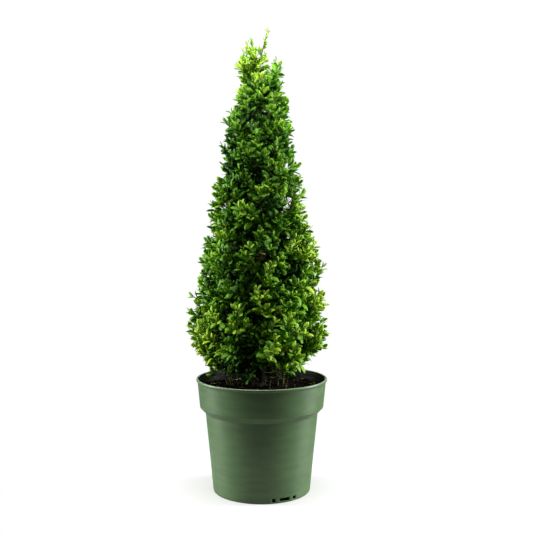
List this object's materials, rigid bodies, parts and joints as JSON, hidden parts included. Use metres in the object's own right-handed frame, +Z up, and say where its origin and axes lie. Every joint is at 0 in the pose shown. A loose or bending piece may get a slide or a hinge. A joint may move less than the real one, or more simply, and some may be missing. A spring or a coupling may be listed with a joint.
{
  "type": "potted japanese holly",
  "caption": "Small-leaved evergreen shrub clipped to a slim cone, growing in a round plastic nursery pot filled with soil.",
  "frame": {"origin": "centre of the pot's flat underside", "axes": "+Z up along the pot's axis; -Y is the front that the picture shows, +X its right"},
  "size_m": [0.2489, 0.267, 0.8071],
  "materials": {
    "pot": "moulded satin polypropylene, dark green",
    "soil": "loose moist peat with bits of bark",
    "bark": "smooth grey-brown bark",
    "foliage": "small glossy evergreen leaves"
  },
  "bodies": {
    "root": {"pot": "pot", "soil": "soil", "trunk": "bark", "bough_1_1": "bark", "bough_1_2": "bark", "bough_1_3": "bark", "bough_1_4": "bark", "bough_1_5": "bark", "bough_1_6": "bark", "bough_2_1": "bark", "bough_2_2": "bark", "bough_2_3": "bark", "bough_2_4": "bark", "bough_2_5": "bark", "bough_3_1": "bark", "bough_3_2": "bark", "bough_3_3": "bark", "bough_3_4": "bark", "bough_4_1": "bark", "bough_4_2": "bark", "bough_4_3": "bark", "bough_sprig": "bark", "foliage_1_1": "foliage", "foliage_1_2": "foliage", "foliage_1_3": "foliage", "foliage_1_4": "foliage", "foliage_1_5": "foliage", "foliage_1_6": "foliage", "foliage_2_1": "foliage", "foliage_2_2": "foliage", "foliage_2_3": "foliage", "foliage_2_4": "foliage", "foliage_2_5": "foliage", "foliage_3_1": "foliage", "foliage_3_2": "foliage", "foliage_3_3": "foliage", "foliage_3_4": "foliage", "foliage_4_1": "foliage", "foliage_4_2": "foliage", "foliage_4_3": "foliage", "foliage_top": "foliage", "foliage_sprig": "foliage"}
  },
  "joints": []
}
